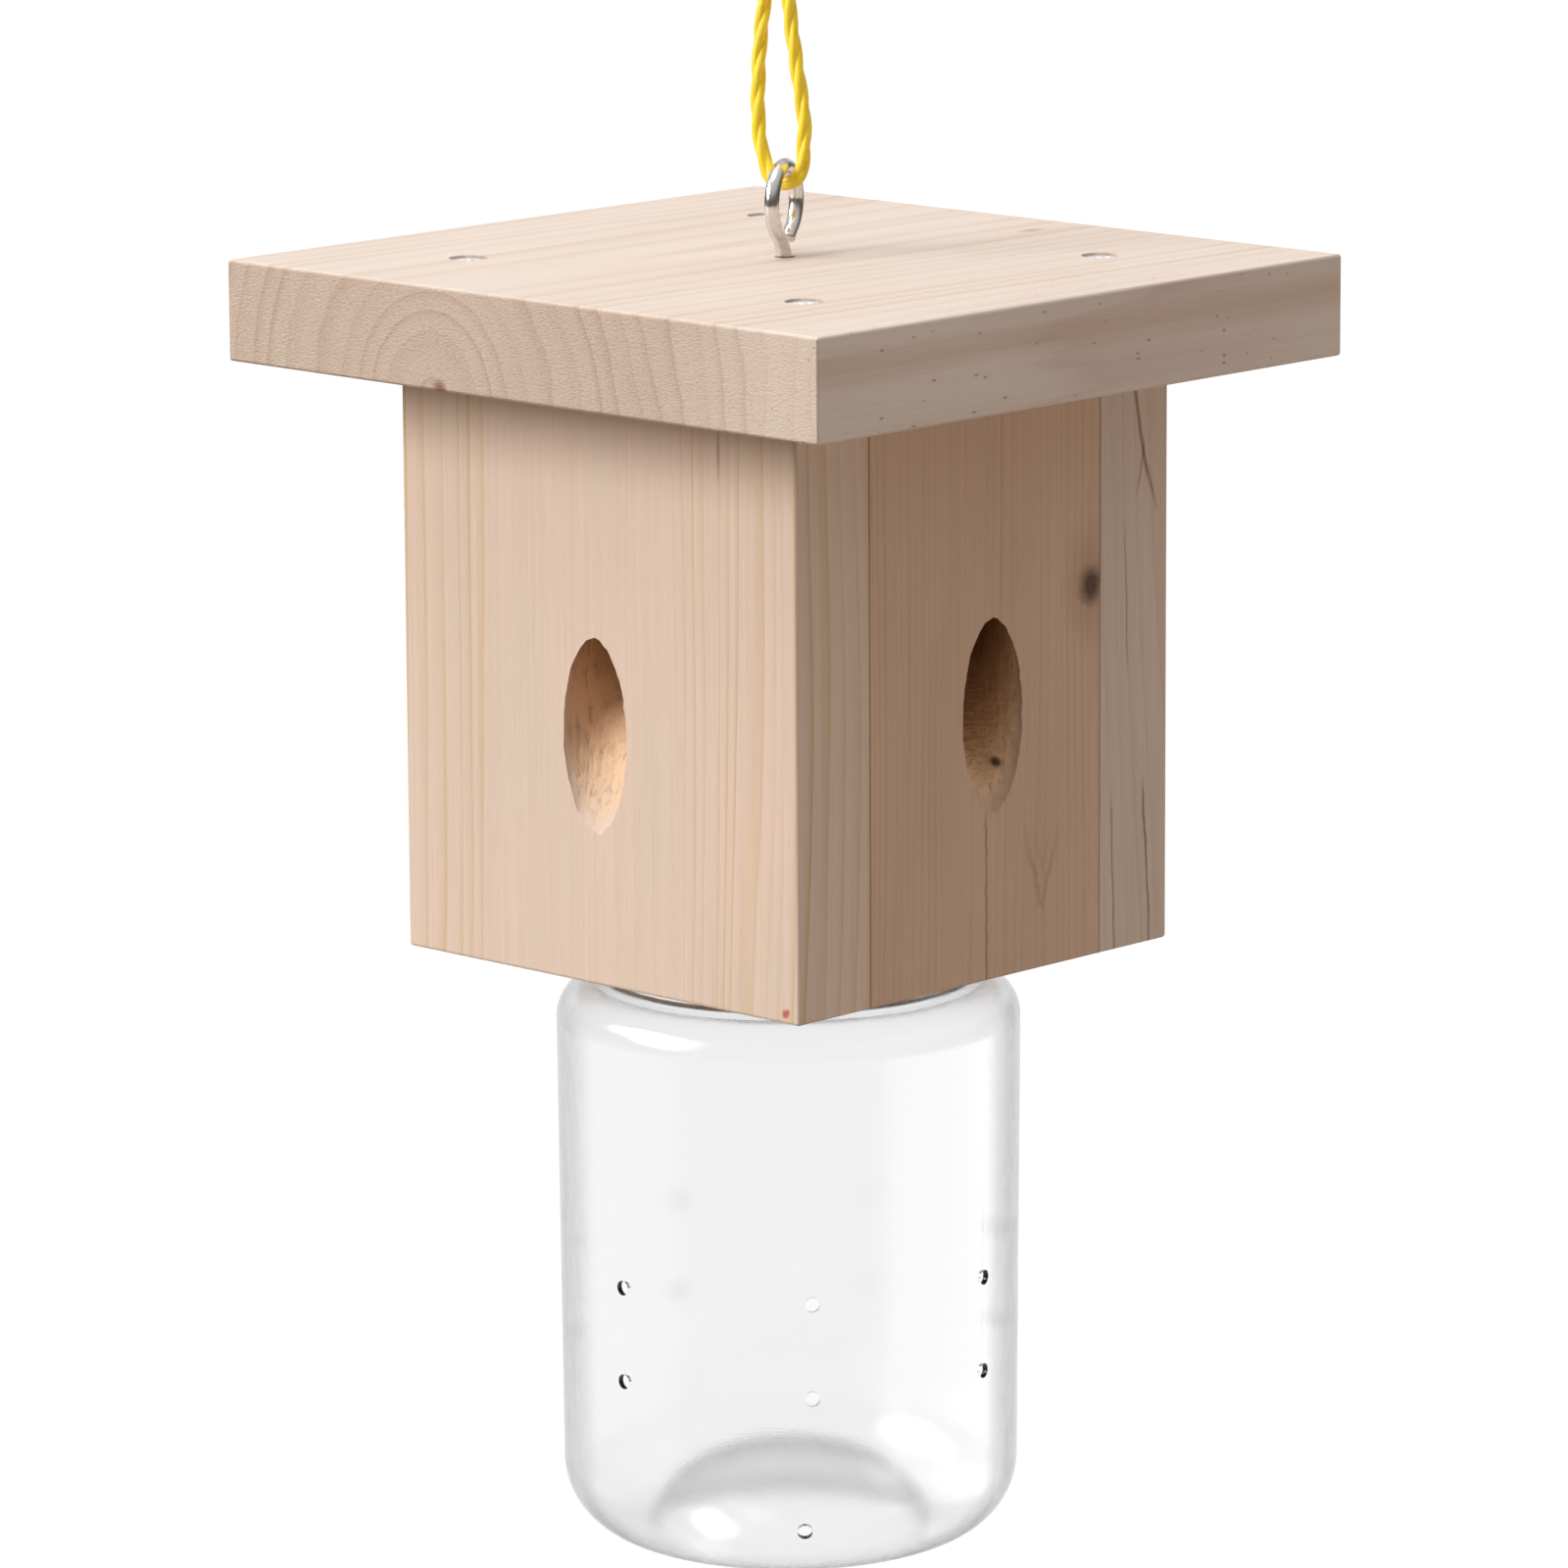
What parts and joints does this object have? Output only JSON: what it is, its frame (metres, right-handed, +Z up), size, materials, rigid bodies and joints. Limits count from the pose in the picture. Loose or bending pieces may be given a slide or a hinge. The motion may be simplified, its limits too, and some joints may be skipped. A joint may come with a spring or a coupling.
{
  "type": "carpenter bee trap",
  "caption": "Wooden insect trap house with slanted entry holes above a screw-on clear jar, hung on a doubled rope.",
  "frame": {"origin": "the hanging point: the inside top of the rope's hanging loop, on the trap's vertical axis", "axes": "+Z up; -Y out of the front wall; +X out of the right wall"},
  "size_m": [0.158, 0.149, 0.3492],
  "materials": {
    "pine": "planed and unfinished, fine straight grain",
    "clear_plastic": "blown clear PET with a faint haze",
    "lid_plastic": "moulded, satin white",
    "foam": "soft closed-cell foam",
    "nickel": "bright nickel plate",
    "zinc": "bright zinc plate",
    "rope": "twisted polypropylene, slightly shiny"
  },
  "bodies": {
    "rope": {"rope_strands": "rope", "rope_loop": "rope", "rope_knot": "rope", "rope_tail_1": "rope", "rope_tail_2": "rope"},
    "house": {"roof_board": "pine", "wall_front": "pine", "wall_right": "pine", "wall_back": "pine", "wall_left": "pine", "base_board": "pine", "jar_lid": "lid_plastic", "roof_screw_1": "zinc", "roof_screw_2": "zinc", "roof_screw_3": "zinc", "roof_screw_4": "zinc", "lid_screw_1": "zinc", "lid_screw_2": "zinc", "lid_screw_3": "zinc", "lid_screw_4": "zinc", "eye_screw": "nickel"},
    "seal": {"seal_ring": "foam"},
    "jar": {"jar": "clear_plastic"}
  },
  "joints": [
    {"name": "house_swing", "type": "hinge", "parent": "rope", "child": "house", "pos_m": [0, 0, -0.0722], "axis": [-0.4003, 0.9164, 0], "range_deg": [-20, 20]},
    {"name": "jar_lift", "type": "slide", "parent": "house", "child": "seal", "axis": [0, 0, -1], "range_m": [0, 0.00551]},
    {"name": "jar_turn", "type": "hinge", "parent": "seal", "child": "jar", "pos_m": [0, 0, -0.21182], "axis": [0, 0, -1], "range_deg": [0, 396]}
  ],
  "couplings": [
    {"joint": "jar_lift", "follows": "jar_turn", "m_per_rad": 0.00079577}
  ]
}
